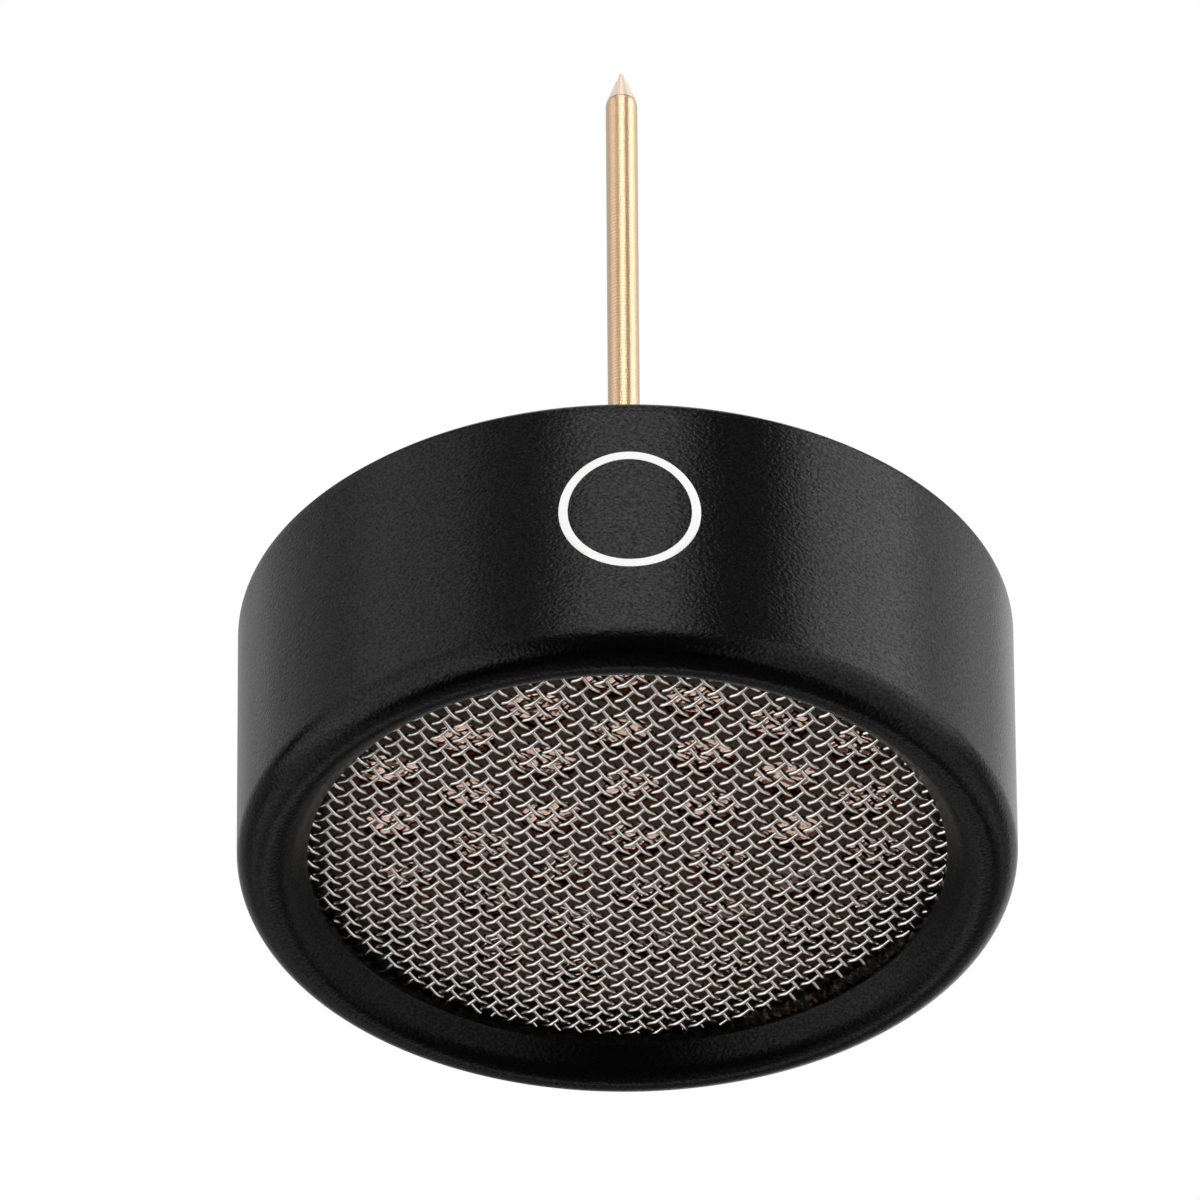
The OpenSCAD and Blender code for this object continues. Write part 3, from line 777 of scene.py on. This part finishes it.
# The light tent, as soft-edged panels on the sky. Azimuth 0 is the camera's side and 90 the picture's right,
# elevation is in degrees above the row's horizontal plane, and level 1 looks white in a mirror.
# Each row: name, azimuth, elevation, half width, half height, soft edge of the width and of the height, level
TENT_PANELS = [
    ("deep_front", 0, -66, 44, 12, 14, 12, 2.20),
    ("deep_left", -88, -66, 44, 12, 14, 12, 0.04),
    ("deep_left_back", -156, -66, 24, 12, 14, 12, 0.10),
    ("deep_right_back", 156, -66, 24, 12, 14, 12, 0.10),
    ("low_front", 0, -33, 18, 12, 14, 14, 3.10),
    ("low_gap_left", -35, -37, 12, 12, 12, 14, 0.45),
    ("low_gap_right", 36, -37, 12, 12, 12, 14, 0.25),
    ("low_left", -66, -37, 20, 12, 14, 14, 1.30),
    ("low_right", 72, -37, 20, 12, 14, 14, 2.90),
    ("low_left_side", -106, -37, 20, 12, 14, 14, 0.60),
    ("low_right_side", 110, -37, 21, 12, 14, 14, 1.20),
    ("low_left_back", -153, -37, 27, 12, 14, 14, 0.52),
    ("low_right_back", 155, -37, 25, 12, 14, 14, 0.84),
    ("sill_front", 0, -12, 20, 9, 14, 14, 2.10),
    ("sill_left", -62, -14, 34, 10, 16, 14, 1.10),
    ("sill_right", 71, -14, 35, 10, 16, 14, 1.90),
    ("sill_left_back", -148, -14, 34, 10, 20, 14, 0.35),
    ("sill_right_back", 148, -14, 34, 10, 20, 14, 0.80),
    ("level_front", 0, 7, 34, 11, 20, 14, 0.14),
    ("level_left", -72, 7, 37, 11, 20, 14, 1.45),
    ("level_right", 69, 7, 33, 11, 20, 14, 1.35),
    ("level_left_back", -143, 7, 37, 11, 20, 14, 0.22),
    ("level_right_back", 143, 7, 37, 11, 20, 14, 0.30),
    ("upper_front", 0, 35, 32, 18, 20, 16, 0.06),
    ("upper_left", -68, 35, 34, 18, 20, 16, 1.65),
    ("upper_right", 66, 35, 32, 18, 20, 16, 1.00),
    ("upper_left_side", -120, 35, 22, 18, 20, 16, 0.80),
    ("upper_right_side", 120, 35, 22, 18, 20, 16, 0.75),
    ("upper_left_back", -161, 35, 19, 19, 14, 14, 0.37),
    ("upper_right_back", 161, 35, 19, 19, 14, 14, 0.14),
    ("high_left", -90, 66, 45, 12, 14, 14, 0.02),
    ("high_right", 90, 66, 45, 12, 14, 14, 0.09),
    ("high_left_back", -157, 66, 23, 12, 14, 14, 0.23),
    ("high_right_back", 157, 66, 23, 12, 14, 14, 0.10),
    ("zenith", 0, 84, 200, 6, 14, 10, 0.08),
    ("nadir", 0, -84, 200, 6, 14, 10, 0.90),
]


def make_world():
    """The tent: bright below and at the sides, dark overhead, with a narrow strip at the front."""
    world = bpy.data.worlds.new("studio")
    bpy.context.scene.world = world
    world.use_nodes = True
    tree = world.node_tree
    background = tree.nodes["Background"]

    def math_node(operation, a, b=None):
        made = tree.nodes.new("ShaderNodeMath")
        made.operation = operation
        for place, value in enumerate((a, b)):
            if isinstance(value, bpy.types.NodeSocket):
                tree.links.new(value, made.inputs[place])
            elif value is not None:
                made.inputs[place].default_value = value
        return made.outputs[0]

    def ramp(value, low, high, to_low, to_high):
        made = tree.nodes.new("ShaderNodeMapRange")
        made.interpolation_type = "SMOOTHSTEP"
        for key, given in (("From Min", low), ("From Max", high), ("To Min", to_low), ("To Max", to_high)):
            made.inputs[key].default_value = given
        tree.links.new(value, made.inputs["Value"])
        return made.outputs["Result"]

    def inside(value, centre, half, soft):
        """1 within half of the centre, falling to 0 over the soft edge."""
        away = math_node("ABSOLUTE", math_node("SUBTRACT", value, math.radians(centre)))
        return ramp(away, math.radians(half - soft / 2), math.radians(half + soft / 2), 1.0, 0.0)

    direction = tree.nodes.new("ShaderNodeTexCoord").outputs["Generated"]
    apart = tree.nodes.new("ShaderNodeSeparateXYZ")
    tree.links.new(direction, apart.inputs[0])
    x, y, z = apart.outputs
    azimuth = math_node("ARCTAN2", math_node("MULTIPLY", x, -1.0), math_node("MULTIPLY", y, -1.0))
    elevation = math_node("ARCSINE", math_node("MAXIMUM", math_node("MINIMUM", z, 1.0), -1.0))
    light = None
    for _, azimuth_at, elevation_at, half_width, half_height, soft_width, soft_height, level in TENT_PANELS:
        width = inside(azimuth, azimuth_at, half_width, soft_width)
        height = inside(elevation, elevation_at, half_height, soft_height)
        panel = math_node("MULTIPLY", math_node("MULTIPLY", width, height), level)
        light = panel if light is None else math_node("ADD", light, panel)
    path = tree.nodes.new("ShaderNodeLightPath")
    strength = math_node("MAXIMUM", light, path.outputs["Is Camera Ray"])
    tree.links.new(strength, background.inputs["Strength"])
    background.inputs["Color"].default_value = rgba(1, 1, 1)


VIEW_ELEVATION = math.radians(35.94)
VIEW_TURN = math.radians(0.75)
FILM_EDGE_Y = 3.3 * MM
FILM_Z = float(box_mm("diaphragm")[1][2]) * MM
CARD_Y = 0.30
CARD_HEIGHT = 0.09
CARD_WIDTH = 0.26
CARD_LEVEL = 0.45


def make_card():
    """The card that the film mirrors to the camera. Its lower edge leaves the film's far part dark."""
    edge_z = FILM_Z + (CARD_Y - FILM_EDGE_Y) * math.tan(VIEW_ELEVATION)
    light = bpy.data.lights.new("film_card", "AREA")
    light.shape = "RECTANGLE"
    light.size, light.size_y = CARD_WIDTH, CARD_HEIGHT
    light.energy = 4 * CARD_WIDTH * CARD_HEIGHT * CARD_LEVEL
    card = bpy.data.objects.new("film_card", light)
    bpy.context.scene.collection.objects.link(card)
    card.location = Vector((0, CARD_Y, edge_z + CARD_HEIGHT / 2))
    card.rotation_mode = "QUATERNION"
    card.rotation_quaternion = Vector((0, 1, 0)).to_track_quat("Z", "Y")
    card.visible_camera = False


# Camera, from the fit to the photograph: a picture of 1200 by 1200 pixels

PICTURE = 1200
FOCAL_PX = 20632.6
VIEW_DISTANCE = 53 * SHELL_R * MM
BODY_MIDDLE_Z = CREST_Z / 2 * MM
AXIS_PX = (626.6, 756.3)
ROLL = math.radians(0.45)


def make_camera():
    """The fitted camera, rolled half a turn from the row's upright."""
    elevation, turn = VIEW_ELEVATION, VIEW_TURN
    level = math.cos(elevation)
    back = Vector((math.sin(turn) * level, -math.cos(turn) * level, math.sin(elevation)))
    right = Vector((-math.cos(turn), -math.sin(turn), 0))
    up = back.cross(right)
    right, up = (math.cos(ROLL) * right - math.sin(ROLL) * up, math.sin(ROLL) * right + math.cos(ROLL) * up)
    middle = PICTURE / 2
    aim = -back - (AXIS_PX[0] - middle) / FOCAL_PX * right + (AXIS_PX[1] - middle) / FOCAL_PX * up
    data = bpy.data.cameras.new("camera")
    data.sensor_width = 36
    data.lens = data.sensor_width * FOCAL_PX / PICTURE
    data.clip_start, data.clip_end = 0.01, 100
    camera = bpy.data.objects.new("camera", data)
    bpy.context.scene.collection.objects.link(camera)
    camera.location = Vector((0, 0, BODY_MIDDLE_Z)) + back * VIEW_DISTANCE
    z_axis = -aim.normalized()
    x_axis = (right - right.dot(z_axis) * z_axis).normalized()
    y_axis = z_axis.cross(x_axis)
    matrix = camera.matrix_world.to_3x3()
    matrix.col[0], matrix.col[1], matrix.col[2] = x_axis, y_axis, z_axis
    camera.rotation_mode = "QUATERNION"
    camera.rotation_quaternion = matrix.to_quaternion()
    bpy.context.scene.camera = camera


make_floor()
make_world()
make_card()
make_camera()
bpy.context.scene.view_settings.view_transform = "Standard"
